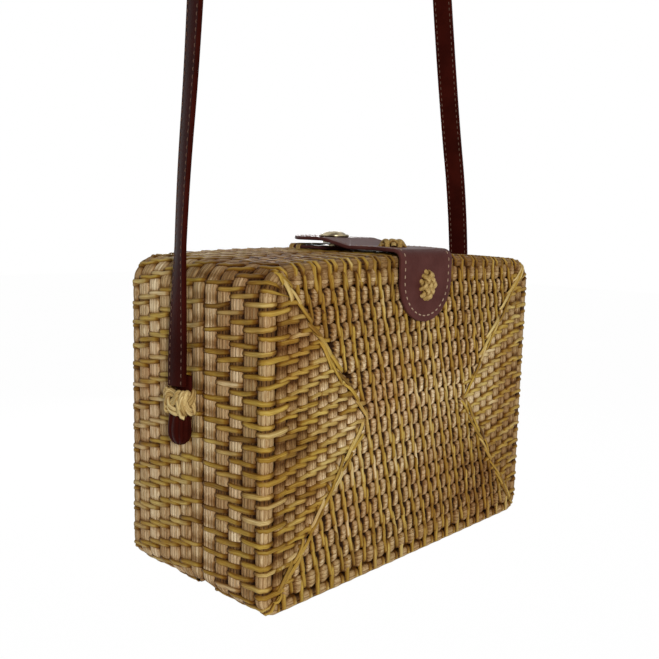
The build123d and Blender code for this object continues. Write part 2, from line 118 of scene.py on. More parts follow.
# Profile of a strip: height at each share of its length, and drop at each share of its width
STRIP_SHARES = np.array([0, 0.02, 0.06, 0.16, 0.32, 0.44, 0.5, 0.56, 0.68, 0.84, 0.94, 0.98, 1])
STRIP_RISE = np.array([-2.2, -1, -0.1, 0.2, 0.2, -0.02, -0.1, -0.02, 0.2, 0.2, -0.1, -1, -2.2])
STRIP_SIDES = np.array([-0.5, -0.4, -0.2, 0.0, 0.2, 0.4, 0.5])
STRIP_DROP = np.array([-0.8, -0.2, 0.06, 0.13, 0.06, -0.2, -0.8])
STRIP_TUCK = 0.45

# Leather and its fittings, as in the part's source
LEATHER = 1.8
SURFACE_GAP = 0.3
STRIP_Z = TOP_Z + SURFACE_GAP + LEATHER / 2
FLAP_Z = STRIP_Z + 4.3
SNAP_Y = 11.0

# Ends of the strap: the middle of the braid, and the length of the leather under it
KNOT_Z = 84.7
STRAP_X = 104.35
STRAP_Y = 2.5
TAIL_LENGTH = 15.0


# Meshes

def add_object(name, data):
    """An object with this data, linked to the scene."""
    item = bpy.data.objects.new(name, data)
    bpy.context.scene.collection.objects.link(item)
    return item


class Pile:
    """Gathers grids of points into one mesh.

    Each point carries lay (along, across, tone) and an amount of painted shade, 0 on a crest to 1
    in a gap.
    """

    def __init__(self):
        self.points = []
        self.faces = []
        self.lays = []
        self.painted_shades = []
        self.count = 0

    def grid(self, points, lay, painted_shade=0.0, wrap_rows=False, wrap_cols=False):
        """Add an (n, m, 3) grid of points with its lay values, (n, m, 3), and amounts of painted
        shade.
        """
        n, m = points.shape[:2]
        index = self.count + np.arange(n * m).reshape(n, m)
        if wrap_rows:
            index = np.vstack([index, index[:1]])
        if wrap_cols:
            index = np.hstack([index, index[:, :1]])
        quads = np.stack(
            [index[:-1, :-1], index[:-1, 1:], index[1:, 1:], index[1:, :-1]], axis=-1
        )
        self.points.append(points.reshape(-1, 3))
        self.lays.append(np.broadcast_to(lay, (n, m, 3)).reshape(-1, 3))
        self.painted_shades.append(np.broadcast_to(painted_shade, (n, m)).reshape(-1))
        self.faces.append(quads.reshape(-1, 4))
        self.count += n * m

    def build(self, name, body, slot, material):
        """Make the object, ride it on its body and give it its material."""
        points = np.vstack(self.points) * MM
        faces = np.vstack(self.faces)
        mesh = bpy.data.meshes.new(name)
        mesh.from_pydata(points.tolist(), [], faces.tolist())
        lay = mesh.attributes.new("lay", "FLOAT_VECTOR", "POINT")
        lay.data.foreach_set("vector", np.vstack(self.lays).astype(np.float32).ravel())
        painted_shade = mesh.attributes.new("painted_shade", "FLOAT", "POINT")
        painted_shade.data.foreach_set("value", np.concatenate(self.painted_shades).astype(np.float32))
        mesh.polygons.foreach_set("use_smooth", [True] * len(mesh.polygons))
        mesh.materials.append(material)
        mesh.update()
        piece = add_object(name, mesh)
        if body:
            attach(piece, body)
        return piece


def lay_values(along, across, tone):
    """Stack lengthwise, crosswise and tone values into one array."""
    along, across, tone = np.broadcast_arrays(along, across, tone)
    return np.stack([along, across, tone], axis=-1).astype(float)


def lengths_along(line):
    """Length so far at each point of a line."""
    steps = np.linalg.norm(np.diff(line, axis=0), axis=1)
    return np.concatenate([[0], np.cumsum(steps)])


def points_at(at, lengths, points):
    """Points or vectors along a line at the lengths at, from some of them and their lengths."""
    return np.stack([np.interp(at, lengths, column) for column in points.T], axis=1)


def even_points(line, step):
    """The line's points again, evenly spaced, and the lengths at which they lie."""
    lengths = lengths_along(line)
    at = np.linspace(0, lengths[-1], int(lengths[-1] / step) + 1)
    return points_at(at, lengths, line), at


def unit(vectors):
    """Vectors scaled to length one."""
    return vectors / np.maximum(np.linalg.norm(vectors, axis=-1, keepdims=True), 1e-9)


def strand(pile, line, up, half_width, half_height, tone, closed=False, keep=None):
    """A strand of oval section along a line; up is its outward direction, one or one per point."""
    if closed:
        tangent = unit(np.roll(line, -1, axis=0) - np.roll(line, 1, axis=0))
    else:
        tangent = unit(np.gradient(line, axis=0))
    side = unit(np.cross(tangent, up))
    out = np.cross(side, tangent)
    turn = np.linspace(0, 2 * math.pi, 9)[:-1]
    across = np.broadcast_to(half_width, len(line))[:, None] * np.cos(turn)
    rise = np.broadcast_to(half_height, len(line))[:, None] * np.sin(turn)
    points = (line[:, None, :] + side[:, None, :] * across[..., None]
              + out[:, None, :] * rise[..., None])
    if keep is not None:
        points = keep(points)
    # Painted shade on the strand's sides and underside.
    painted_shade = np.clip(0.25 - 0.75 * np.sin(turn), 0, 1)[None, :]
    pile.grid(points, lay_values(lengths_along(line)[:, None], across, tone), painted_shade,
              wrap_rows=closed, wrap_cols=True)


# Materials

def new_material(name, values):
    """A node material, its tree and its Principled shader with these input values."""
    material = bpy.data.materials.new(name)
    material.use_nodes = True
    tree = material.node_tree
    shader = tree.nodes["Principled BSDF"]
    for key, value in values.items():
        shader.inputs[key].default_value = value
    return material, tree, shader


def add_node(tree, kind, **values):
    """A node with its properties and unlinked inputs set."""
    node = tree.nodes.new(kind)
    for key, value in values.items():
        if key in node.inputs.keys():
            node.inputs[key].default_value = value
        else:
            setattr(node, key, value)
    return node


def ramp(tree, source, stops):
    """A colour ramp fed by source; stops are (position, colour)."""
    node = tree.nodes.new("ShaderNodeValToRGB")
    elements = node.color_ramp.elements
    while len(elements) < len(stops):
        elements.new(0.5)
    for element, (position, colour) in zip(elements, stops):
        element.position = position
        element.color = (*colour, 1.0)
    tree.links.new(source, node.inputs["Fac"])
    return node.outputs["Color"]


def shaded(tree, colour, factor, source, stops):
    """The colour multiplied, by factor, with a colour ramp over source."""
    node = tree.nodes.new("ShaderNodeMix")
    node.data_type = "RGBA"
    node.blend_type = "MULTIPLY"
    node.inputs[0].default_value = factor
    tree.links.new(colour, node.inputs[6])
    tree.links.new(ramp(tree, source, stops), node.inputs[7])
    return node.outputs[2]


def object_place(tree):
    """Coordinates of the object itself, in metres."""
    return tree.nodes.new("ShaderNodeTexCoord").outputs["Object"]


def scaled(tree, source, scale):
    """The vector in source, multiplied by scale along each axis."""
    node = tree.nodes.new("ShaderNodeVectorMath")
    node.operation = "MULTIPLY"
    tree.links.new(source, node.inputs[0])
    node.inputs[1].default_value = scale
    return node.outputs[0]


def noise(tree, source, scale, detail):
    """Noise factor over the coordinates in source."""
    node = add_node(tree, "ShaderNodeTexNoise", Scale=scale, Detail=detail, Roughness=0.55)
    tree.links.new(source, node.inputs["Vector"])
    return node.outputs["Fac"]


def math_node(tree, operation, first, second):
    """The operation on a socket and a second socket or number."""
    node = add_node(tree, "ShaderNodeMath", operation=operation)
    tree.links.new(first, node.inputs[0])
    if isinstance(second, float):
        node.inputs[1].default_value = second
    else:
        tree.links.new(second, node.inputs[1])
    return node.outputs[0]


def mix_shaders(tree, factor, first, second, target):
    """Link a mix of two nodes' shaders to the target socket, the second where factor is 1."""
    node = tree.nodes.new("ShaderNodeMixShader")
    tree.links.new(factor, node.inputs[0])
    tree.links.new(first.outputs[0], node.inputs[1])
    tree.links.new(second.outputs[0], node.inputs[2])
    tree.links.new(node.outputs[0], target)


def dress(tree, shader, colour, height, strength, distance):
    """Give the shader its colour, and bump its normal by the height socket."""
    tree.links.new(colour, shader.inputs["Base Color"])
    node = add_node(tree, "ShaderNodeBump", Strength=strength, Distance=distance)
    tree.links.new(height, node.inputs["Height"])
    tree.links.new(node.outputs["Normal"], shader.inputs["Normal"])


WHITE = (1.0, 1.0, 1.0)


def cane_material(name, stops, fibre_dark, rough, stain, gap=(0.05, 0.025, 0.01)):
    """Split or whole cane: tone picks the colour, fibres run along, and gaps get painted shade down
    to the gap colour.
    """
    material, tree, shader = new_material(name, {"Roughness": rough, "Specular IOR Level": 0.05})
    lay = add_node(tree, "ShaderNodeAttribute", attribute_name="lay").outputs["Vector"]
    split = tree.nodes.new("ShaderNodeSeparateXYZ")
    tree.links.new(lay, split.inputs[0])
    colour = ramp(tree, split.outputs["Z"], stops)
    fibres = noise(tree, scaled(tree, lay, (0.07, 2.8, 37.0)), 1.0, 2.0)
    colour = shaded(tree, colour, 0.85, fibres, ((0.36, fibre_dark), (0.58, WHITE)))
    broad = noise(tree, scaled(tree, lay, (0.10, 0.45, 11.0)), 1.0, 2.0)
    mottling = ((0.3, (0.66, 0.58, 0.46)), (0.65, (1.12, 1.1, 1.05)))
    colour = shaded(tree, colour, 0.75, broad, mottling)
    patches = noise(tree, object_place(tree), 22.0, 3.0)
    colour = shaded(tree, colour, 0.8, patches, ((0.44, WHITE), (0.72, stain)))
    painted_shade = add_node(tree, "ShaderNodeAttribute", attribute_name="painted_shade").outputs["Fac"]
    # Painted shade: darker into the gaps by the painted-shade amount, and a touch paler on crests
    # as painted highlight.
    into_painted_shade = ((0.0, (1.06, 1.06, 1.06)), (0.3, (0.5, 0.37, 0.23)), (0.75, gap))
    colour = shaded(tree, colour, 1.0, painted_shade, into_painted_shade)
    dress(tree, shader, colour, fibres, 0.5, 0.0003)
    return material


def turned_cane_material(name, light, dark):
    """Cane rods and ties that keep their solid: long fibres and small spots."""
    material, tree, shader = new_material(name, {"Roughness": 0.45})
    place = object_place(tree)
    fibres = noise(tree, scaled(tree, place, (60.0, 900.0, 900.0)), 1.0, 3.0)
    colour = ramp(tree, fibres, ((0.35, dark), (0.65, light)))
    spots = noise(tree, place, 140.0, 2.0)
    colour = shaded(tree, colour, 0.7, spots, ((0.4, WHITE), (0.75, (0.6, 0.45, 0.3))))
    dress(tree, shader, colour, fibres, 0.3, 0.0002)
    return material


def leather_material(name, base, dark, rough, sheen):
    """Smooth leather with a fine grain, soft mottling and a slight sheen."""
    material, tree, shader = new_material(name, {
        "Roughness": rough, "Specular IOR Level": sheen, "Specular Tint": (1.0, 0.4, 0.3, 1.0)})
    place = object_place(tree)
    mottling = noise(tree, place, 60.0, 4.0)
    colour = ramp(tree, mottling, ((0.3, dark), (0.7, base)))
    grain = add_node(tree, "ShaderNodeTexVoronoi", Scale=900.0)
    tree.links.new(place, grain.inputs["Vector"])
    dress(tree, shader, colour, grain.outputs["Distance"], 0.25, 0.0002)
    return material


def brass_material():
    """Antique brass, darker where it is worn less, with a slight bump over the same noise."""
    material, tree, shader = new_material("antique_brass", {"Metallic": 1.0, "Roughness": 0.3})
    wear = noise(tree, object_place(tree), 260.0, 4.0)
    colour = ramp(tree, wear, ((0.35, (0.12, 0.09, 0.05)), (0.7, (0.55, 0.46, 0.28))))
    dress(tree, shader, colour, wear, 0.15, 0.0002)
    return material


def cloth_material():
    """Plain woven cotton for the lining."""
    material, tree, shader = new_material("lining_cotton", {"Roughness": 0.9})
    place = object_place(tree)
    threads = []
    for axis in ("X", "Z"):
        wave = add_node(tree, "ShaderNodeTexWave", bands_direction=axis, Scale=700.0,
                        Distortion=1.0)
        tree.links.new(place, wave.inputs["Vector"])
        threads.append(wave.outputs["Fac"])
    weave = math_node(tree, "MULTIPLY", *threads)
    colour = ramp(tree, weave, ((0.0, (0.22, 0.14, 0.08)), (1.0, (0.36, 0.25, 0.15))))
    dress(tree, shader, colour, weave, 0.4, 0.0002)
    return material


core_cane = cane_material(
    "core_cane",
    ((0.0, (0.13, 0.065, 0.02)), (0.35, (0.30, 0.19, 0.08)), (0.65, (0.53, 0.395, 0.215)),
     (1.0, (0.86, 0.74, 0.52))),
    (0.55, 0.4, 0.25), 0.55, (0.68, 0.5, 0.38),
)
strip_cane = cane_material(
    "strip_cane",
    ((0.0, (0.14, 0.075, 0.02)), (0.3, (0.28, 0.17, 0.035)), (0.6, (0.5, 0.355, 0.075)),
     (0.8, (0.58, 0.46, 0.18)), (1.0, (0.74, 0.62, 0.38))),
    (0.6, 0.45, 0.25), 0.36, (0.7, 0.52, 0.36), (0.16, 0.08, 0.03),
)
# Nearly black: painted shade seen through the gaps between the cores.
painted_shade_backing_cane = cane_material(
    "painted_shade_backing_cane",
    ((0.0, (0.03, 0.012, 0.004)), (1.0, (0.06, 0.026, 0.009))),
    (0.5, 0.4, 0.3), 0.8, (0.8, 0.7, 0.6),
)
knot_cane = cane_material(
    "knot_cane",
    ((0.0, (0.22, 0.13, 0.04)), (0.5, (0.46, 0.33, 0.12)), (1.0, (0.7, 0.56, 0.29))),
    (0.5, 0.38, 0.22), 0.42, (0.8, 0.68, 0.5), (0.1, 0.05, 0.02),
)
thread = cane_material(
    "pale_thread",
    ((0.0, (0.10, 0.05, 0.04)), (0.5, (0.36, 0.26, 0.2)), (1.0, (0.6, 0.5, 0.4))),
    (0.6, 0.5, 0.4), 0.8, (0.8, 0.75, 0.7), (0.5, 0.4, 0.35),
)
rod_cane = turned_cane_material("rod_cane", (0.52, 0.36, 0.16), (0.26, 0.15, 0.05))
tie_cane = turned_cane_material("tie_cane", (0.6, 0.46, 0.22), (0.36, 0.24, 0.09))
leather = leather_material(
    "closure_leather", (0.095, 0.033, 0.028), (0.055, 0.016, 0.013), 0.42, 0.05)
strap_leather = leather_material(
    "strap_leather", (0.04, 0.005, 0.003), (0.018, 0.0025, 0.0015), 0.34, 0.02)
brass = brass_material()
cotton = cloth_material()


# The weave's surfaces

def outline_arcs():
    """The base corner, top corner and crown of the outline's right half.

    Each is (centre x, centre z, radius, first turn, last turn), with turns counted from straight
    down towards the right.
    """
    crown_z = TOP_Z - CROWN_R
    corner_x = HALF_WIDTH - TOP_CORNER_R
    corner_z = crown_z + math.sqrt((CROWN_R - TOP_CORNER_R) ** 2 - corner_x**2)
    lean = math.atan2(corner_x, corner_z - crown_z)
    base_x = HALF_WIDTH - BASE_CORNER_R
    return (
        (base_x, BASE_CORNER_R - BASE_FLAT, BASE_CORNER_R, 0.0, math.pi / 2),
        (corner_x, corner_z, TOP_CORNER_R, math.pi / 2, math.pi - lean),
        (0.0, crown_z, CROWN_R, math.pi - lean, math.pi),
    )


def arc_samples(centre_x, centre_z, radius, first, last, count):
    """Points, outward normals and radius along one arc of the outline."""
    samples = []
    for turn in np.linspace(first, last, count):
        normal_x, normal_z = math.sin(turn), -math.cos(turn)
        point = (centre_x + radius * normal_x, centre_z + radius * normal_z)
        samples.append((*point, normal_x, normal_z, radius))
    return samples


def ring_samples():
    """Points, outward normals and corner radius all round the outline, and the length so far."""
    base, corner, crown = outline_arcs()
    bottom = np.linspace(0, HALF_WIDTH - BASE_CORNER_R, 60, endpoint=False)
    end_wall = np.linspace(base[1], corner[1], 60)[1:-1]
    right = [(x, -BASE_FLAT, 0.0, -1.0, CROWN_R) for x in bottom]
    right += arc_samples(*base, 24)
    right += [(HALF_WIDTH, z, 1.0, 0.0, CROWN_R) for z in end_wall]
    right += arc_samples(*corner, 24) + arc_samples(*crown, 60)
    right = np.array(right)
    left = right[::-1][1:] * np.array([-1, 1, -1, 1, 1])
    loop = np.vstack([right, left])
    return loop, lengths_along(loop[:, :2])


RING, RING_AT = ring_samples()
RING_LENGTH = RING_AT[-1]


class Tray:
    """Maps ring coordinates (along, across, height) of one tray to points.

    Across counts from the seam over the side wall, round the edge and onto the face.
    """

    def __init__(self, way, face_y, coils):
        self.way = way
        self.face_y = face_y
        self.side = abs(face_y - SEAM_Y) - EDGE_R
        self.turn = EDGE_R * math.pi / 2
        start = SEAM_GAP / 2
        edge_start = abs(face_y - SEAM_Y) - EDGE_COIL
        edge_end = self.side + self.turn + EDGE_COIL - EDGE_R
        self.bounds = np.concatenate([
            np.linspace(start, edge_start, coils + 1), [edge_end, edge_end + REACH_Z / FACE_ROWS]
        ])

    def place(self, along, across, height, floor=0.0):
        """Points for broadcastable arrays of ring coordinates, none below floor."""
        along, across, height = np.broadcast_arrays(along, across, height)
        x, z, nx, nz, radius = [
            np.interp(np.mod(along, RING_LENGTH), RING_AT, RING[:, i]) for i in range(5)
        ]
        across = np.where(z < LIP_CUT_Z, np.maximum(across, BASE_START), across)
        around = np.clip((across - self.side) / self.turn, 0, 1) * math.pi / 2
        over = np.clip(across - self.side - self.turn, 0, None)
        depth = np.minimum(across, self.side) + EDGE_R * np.sin(around)
        inset = EDGE_R * (1 - np.cos(around)) + over
        offset = np.maximum(height * np.cos(around) - inset, 0.5 - radius)
        return np.stack([
            x + nx * offset,
            SEAM_Y + self.way * (depth + height * np.sin(around)),
            np.maximum(z + nz * offset, floor),
        ], axis=-1)

    def face_point(self, x, z, height):
        """Points on the flat face."""
        x, z, height = np.broadcast_arrays(x, z, height)
        return np.stack([x, self.face_y + self.way * height, z], axis=-1)


def core_profile():
    """A core of flat splints side by side: shares across, heights, roundness and painted shade in
    its grooves and at its sides.
    """
    share = [0.0, 0.02]
    height = [-0.85, -0.5]
    edges = np.linspace(0.05, 0.95, SPLINTS + 1)
    for i in range(SPLINTS):
        for part, lift in ((0.0, -0.14), (0.14, 0.0), (0.86, 0.0)):
            share.append(edges[i] + part * (edges[i + 1] - edges[i]))
            height.append(lift)
    share = np.array(share + [0.95, 0.98, 1.0])
    height = np.array(height + [-0.14, -0.5, -0.85])
    crown = 1 - np.abs(2 * share - 1) ** 2.6
    rounded = 1 - np.abs(2 * share - 1) ** 2
    groove = 0.42 * (height < -0.1)
    side = np.abs(2 * share - 1) ** 7 - 0.9 * np.minimum(height + 0.14, 0)
    painted_shade = np.maximum(np.clip(side, 0, 1), groove)
    return share, height * 1.7 + 0.55 * crown - 1.1, rounded, painted_shade


SHARE, PROFILE, ROUNDED, PAINTED_GAP_SHADE = core_profile()


def core_swell(along, row, pitch):
    """Bulge of a core between its strips, from 0 under them to 1 midway."""
    phase = along / pitch - row * STAIR_SHIFT + STAIR_SHIFT / 2
    return (0.5 - 0.5 * np.cos(2 * math.pi * phase)) ** 0.8


def core_painted_shade(swell, shade, dark):
    """Painted shade for the material: in the gaps, less on bulges, and by dark a painted shadow
    beside strips, where shade is low.
    """
    beside = dark * np.clip(0.62 - shade, 0, 1)
    return np.clip(PAINTED_GAP_SHADE[None, :] * (1 - 0.55 * swell) + beside, 0, 1)


def stained(tone, x, z):
    """Tone lowered by the two brown stains of each face."""
    first = np.exp(-((x + 80) ** 2 + (z - 70) ** 2) / 60)
    second = np.exp(-((x - 62) ** 2 / 900 + (z - 38) ** 2 / 500))
    return np.clip(tone - 0.4 * first - 0.28 * second, 0, 1)


def strip(pile, place, along, edges, tone, width, slant):
    """One flat strip over two cores; edges are the three boundaries across the pair."""
    low, middle, high = edges
    share = STRIP_SHARES
    half = np.where(share < 0.5, middle - low, high - middle)
    across = middle + half * (share * 2 - 1)
    across = across + STRIP_TUCK * np.sign(share - 0.5) * (np.abs(share - 0.5) > 0.43)
    taper = 1 - 0.2 * np.abs(2 * share - 1) ** 4
    bow = rng.normal(0.35, 0.3)
    bend = slant * (share - 0.5) + bow * np.sin(share * math.pi)
    spread = STRIP_SIDES[None, :] * width * taper[:, None]
    points = place(along + bend[:, None] + spread, across[:, None] + 0 * spread,
                   STRIP_RISE[:, None] + STRIP_DROP[None, :] - 0.2)
    length = abs(high - low)
    # Painted shade at the strip's ends, where they dive under the cores, and along its edges.
    ends = np.clip(np.abs(2 * share - 1) ** 7, 0, 1)[:, None]
    painted_shade = np.clip(ends + 0.5 * (2 * np.abs(STRIP_SIDES)) ** 4, 0, 1) + 0 * spread
    pile.grid(points, lay_values(share[:, None] * length + tone * 50, spread, tone), painted_shade)


def strip_look(tone):
    """Random tone, width and slant of one strip."""
    return (
        float(np.clip(tone + rng.normal(0, 0.12), 0, 1)),
        STRIP_WIDTH * rng.uniform(0.82, 1.12),
        STRIP_SLANT + rng.normal(0, 0.4),
    )


def facing_up(along):
    """How far the outline faces up at a length along it, 0 to 1; the top is browner."""
    return np.clip(np.interp(np.mod(along, RING_LENGTH), RING_AT, RING[:, 3]), 0, 1)


def weave_side(tray, cores, strips, core_tones, strip_tones):
    """Cores and strips of a tray's side wall and edge coil."""
    bounds = tray.bounds
    along = np.linspace(0, RING_LENGTH, int(RING_LENGTH / CORE_STEP), endpoint=False)
    number = round(RING_LENGTH / SIDE_PITCH)
    pitch = RING_LENGTH / number
    topside = facing_up(along)
    for row in range(len(bounds) - 2):
        low, high = bounds[row], bounds[row + 1]
        across = low + SHARE * (high - low)
        shift = 0.5 * STAIR_SHIFT * pitch if row == 0 else 0
        swell = core_swell(along + shift, row, pitch)[:, None]
        wobble = rng.standard_normal((len(along) // 6 + 1, 1)).repeat(6, axis=0)[:len(along)]
        height = PROFILE + (SIDE_BULGE * swell - 0.1 + 0.03 * wobble) * ROUNDED
        points = tray.place(along[:, None], across + 0 * swell, height, 0.3)
        splint_tone = rng.normal(0, 0.09, len(SHARE))
        # Tone paler on the bulges and darker where the cores dip under strips: painted highlight
        # and shade.
        tone = core_tones[row] - 0.3 * topside[:, None] + splint_tone + 0.12 * (swell - 0.5)
        lay = lay_values(along[:, None], across + 20 * row, np.clip(tone, 0, 1))
        dark = SEAM_PAINTED_SHADE if row == 0 else SIDE_PAINTED_SHADE
        cores.grid(points, lay, core_painted_shade(swell, swell, dark), wrap_rows=True)
    for row in range(len(bounds) - 2):
        for i in range(number):
            at = (i + row * STAIR_SHIFT) * pitch + rng.normal(0, STRIP_JITTER)
            tone, width, slant = strip_look(strip_tones[row] - 0.15 * float(facing_up(at)))
            strip(strips, tray.place, at, bounds[row:row + 3], tone,
                  SIDE_WIDEN * width, SIDE_LEAN * tray.way * slant)


def row_limit(offset):
    """How far a long face row reaches in X at that height over or under the middle."""
    return APEX_X + (REACH_X - APEX_X) * np.abs(offset) / REACH_Z


def face_core(tray, cores, x, z, along, row, tone, lay_start, bulge, dark):
    """One mitred core of a face, from its grid of points and lengths along it.

    lay_start gives each core its own part of the fibre pattern.
    """
    swell = core_swell(along, row, FACE_PITCH)
    height = PROFILE + bulge * (swell - 0.5) * ROUNDED
    splint_tone = rng.normal(0, 0.08, len(SHARE))
    # Tone paler on the bulges and darker where the cores dip under strips: painted highlight and
    # shade.
    tone = stained(tone + splint_tone + 0.3 * (swell - 0.55), x, z)
    lay = lay_values(along, lay_start + SHARE[None, :] * 8, tone)
    # The swell, shifted along, places a painted shadow on one side of each strip.
    shade = core_swell(along - 0.9, row, FACE_PITCH)
    cores.grid(tray.face_point(x, z, height), lay, core_painted_shade(swell, shade, dark))


def face_strips(strips, place, edges, reach, phase, base_tone, widen, lean):
    """Strips over the two face cores between three edges, within reach of the middle."""
    first = math.ceil(-reach / FACE_PITCH - phase)
    last = math.floor(reach / FACE_PITCH - phase)
    for i in range(first, last + 1):
        at = (i + phase) * FACE_PITCH + rng.normal(0, STRIP_JITTER)
        tone, width, slant = strip_look(base_tone)
        x, _, z = place(at, edges[1], 0.0)
        strip(strips, place, at, edges, float(stained(tone, x, z)), widen * width, lean * slant)


def weave_long_rows(tray, cores, strips, core_tones, strip_tones):
    """Level rows of one face, from the top to the bottom, each as long as the mitres leave it."""
    step = REACH_Z / FACE_ROWS
    heights = CENTRE_Z + REACH_Z - step * np.arange(LONG_ROWS + 1)
    for row in range(LONG_ROWS):
        z = heights[row] - SHARE * step
        limit = row_limit(z - CENTRE_Z)
        fraction = np.linspace(-1, 1, int(2 * limit.max() / CORE_STEP))
        x = fraction[:, None] * limit[None, :]
        middle = heights[row] - step / 2
        fuller = 0.84 + 0.3 * core_swell(x, row, FACE_PITCH)
        dark = LONG_PAINTED_SHADE_OUTER if row in (0, LONG_ROWS - 1) else LONG_PAINTED_SHADE
        face_core(tray, cores, x, middle + (z - middle) * fuller, x, row, core_tones[row],
                  300 + 9 * row, LONG_BULGE, dark)
    for row in range(LONG_ROWS - 1):
        reach = min(row_limit(heights[row + 1] - CENTRE_Z), row_limit(heights[row + 2] - CENTRE_Z))
        face_strips(strips, tray.face_point, heights[row:row + 3], reach + 1.5,
                    row * STAIR_SHIFT, strip_tones[row], 1.0, LONG_LEAN)


def weave_upright_rows(tray, side, cores, strips, core_tones, strip_tones):
    """Upright rows at one side of a face, from the mitres' apex outwards."""
    step = (REACH_X - APEX_X) / FACE_ROWS
    edges = APEX_X + step * np.arange(FACE_ROWS + 1)

    def place(along, across, lift):
        return tray.face_point(side * across, CENTRE_Z + along, lift)

    for row in range(FACE_ROWS):
        x = edges[row] + SHARE * step
        limit = (x - APEX_X) / (REACH_X - APEX_X) * REACH_Z
        fraction = np.linspace(-1, 1, max(4, int(2 * limit.max() / CORE_STEP)))
        z = fraction[:, None] * limit[None, :]
        dark = UPRIGHT_PAINTED_SHADE_OUTER if row == FACE_ROWS - 1 else UPRIGHT_PAINTED_SHADE
        face_core(tray, cores, side * (x + 0 * z), CENTRE_Z + z, z, side * row,
                  core_tones[row], 600 + 9 * row, UPRIGHT_BULGE, dark)
    for row in range(FACE_ROWS - 1):
        reach = (edges[row + 1] - APEX_X) / (REACH_X - APEX_X) * REACH_Z + 1.0
        face_strips(strips, place, edges[row:row + 3], reach, side * row * STAIR_SHIFT,
                    strip_tones[row], UPRIGHT_WIDEN, UPRIGHT_LEAN * side)


def mitre_strands(tray, strips):
    """Thick strands that cross the corners of the rings along each mitre."""
    share = np.linspace(0, 1, 14)
    rise = 0.5 - 2.8 * np.abs(2 * share - 1) ** 5
    for side_x, side_z in ((-1, -1), (-1, 1), (1, -1), (1, 1)):
        start = np.array([side_x * APEX_X, CENTRE_Z])
        end = np.array([side_x * REACH_X, CENTRE_Z + side_z * REACH_Z])
        length = np.linalg.norm(end - start)
        along = (end - start) / length
        aside = np.array([-along[1], along[0]])
        step = length / FACE_ROWS
        for i in range(2 * FACE_ROWS):
            lane = 1 if i % 2 else -1
            if rng.random() < LEFT_OUT:
                continue
            begin = i * step / 2 - 0.8
            finish = min(begin + rng.uniform(1.3, 2.1) * step, length - 0.5)
            at = begin + share * (finish - begin)
            lean = lane * (1.7 - 1.5 * share) + rng.normal(0, 0.35) + 0.3 * np.sin(5 * share + i)
            spot = start + at[:, None] * along + lean[:, None] * aside
            line = tray.face_point(spot[:, 0], spot[:, 1], rise - 0.3)
            tone = float(np.clip(0.5 + rng.normal(0, 0.22), 0, 1))
            strand(strips, line, (0, tray.way, 0), rng.uniform(0.75, 1.15), 0.6, tone)


def backing(tray, pile):
    """Inner face of the cane, just under the cores, nearly black as painted shade in the gaps."""
    along = np.linspace(0, RING_LENGTH, 200, endpoint=False)
    across = np.linspace(0.6, tray.side + tray.turn + 4, 14)
    points = tray.place(along[:, None], across[None, :], -2.7, 0.4)
    pile.grid(points, lay_values(along[:, None], across[None, :], 0.5), wrap_rows=True)
    x = np.linspace(-REACH_X, REACH_X, 24)
    z = CENTRE_Z + np.linspace(-REACH_Z, REACH_Z, 18)
    points = tray.face_point(x[:, None], z[None, :], -2.8)
    pile.grid(points, lay_values(x[:, None], z[None, :], 0.5))


# Tones of the rows, 0 dark to 1 pale: side rows from the seam, face rows from the top down and
# then the upright ones outwards. OUTWARD is each face row's share of the way to the face's edge.
FRONT_TONES = (0.82, 0.66, 0.82, 0.42, 0.6)
BACK_TONES = (0.64, 0.7, 0.9, 0.68, 0.98, 0.74, 0.66)
FRONT_STRIP_TONES = (0.5, 0.7, 0.55, 0.66, 0.66)
BACK_STRIP_TONES = (0.6, 0.7, 0.62, 0.8, 0.7, 0.76, 0.66)
OUTWARD = np.concatenate([
    np.abs(np.arange(LONG_ROWS) + 0.5 - FACE_ROWS) / FACE_ROWS, np.linspace(0, 1, FACE_ROWS)
])
FACE_TONES = 0.8 - 0.4 * OUTWARD**2 + rng.uniform(-0.08, 0.08, 3 * FACE_ROWS)
FACE_STRIP_TONES = 0.74 + rng.uniform(-0.1, 0.1, 3 * FACE_ROWS)
FACE_STRIP_TONES -= np.repeat((0.4, 0.12), (LONG_ROWS, FACE_ROWS)) * OUTWARD**2

front = Tray(-1, FRONT_Y, FRONT_SIDE_COILS)
back = Tray(1, BACK_Y, BACK_SIDE_COILS)
for tray, body, side_tones, side_strip_tones in (
    (front, "front", FRONT_TONES, FRONT_STRIP_TONES),
    (back, "back", BACK_TONES, BACK_STRIP_TONES),
):
    cores, strips, inner = Pile(), Pile(), Pile()
    weave_side(tray, cores, strips, side_tones, side_strip_tones)
    weave_long_rows(tray, cores, strips, FACE_TONES[:LONG_ROWS], FACE_STRIP_TONES[:LONG_ROWS])
    for side in (-1, 1):
        weave_upright_rows(
            tray, side, cores, strips, FACE_TONES[LONG_ROWS:], FACE_STRIP_TONES[LONG_ROWS:])
    mitre_strands(tray, strips)
    backing(tray, inner)
    woven = cores.build(body + "_cores", body, "cane", core_cane)
    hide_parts(body + "_shell")
    strips.build(body + "_strips", body, "cane", strip_cane)
    inner.build(body + "_backing", body, "cane", painted_shade_backing_cane)


# Leather closure

TAB_Y = FRONT_Y - SURFACE_GAP - LEATHER / 2
CLOSURE_HALF = 20.0
FOLD_Y = -16.0
FLAP_END_Y = 31.0
LINE_STEP = 0.8
SEAM_INSET = 3.0
STITCH_PITCH = 3.4
STITCH_GAP = 0.35


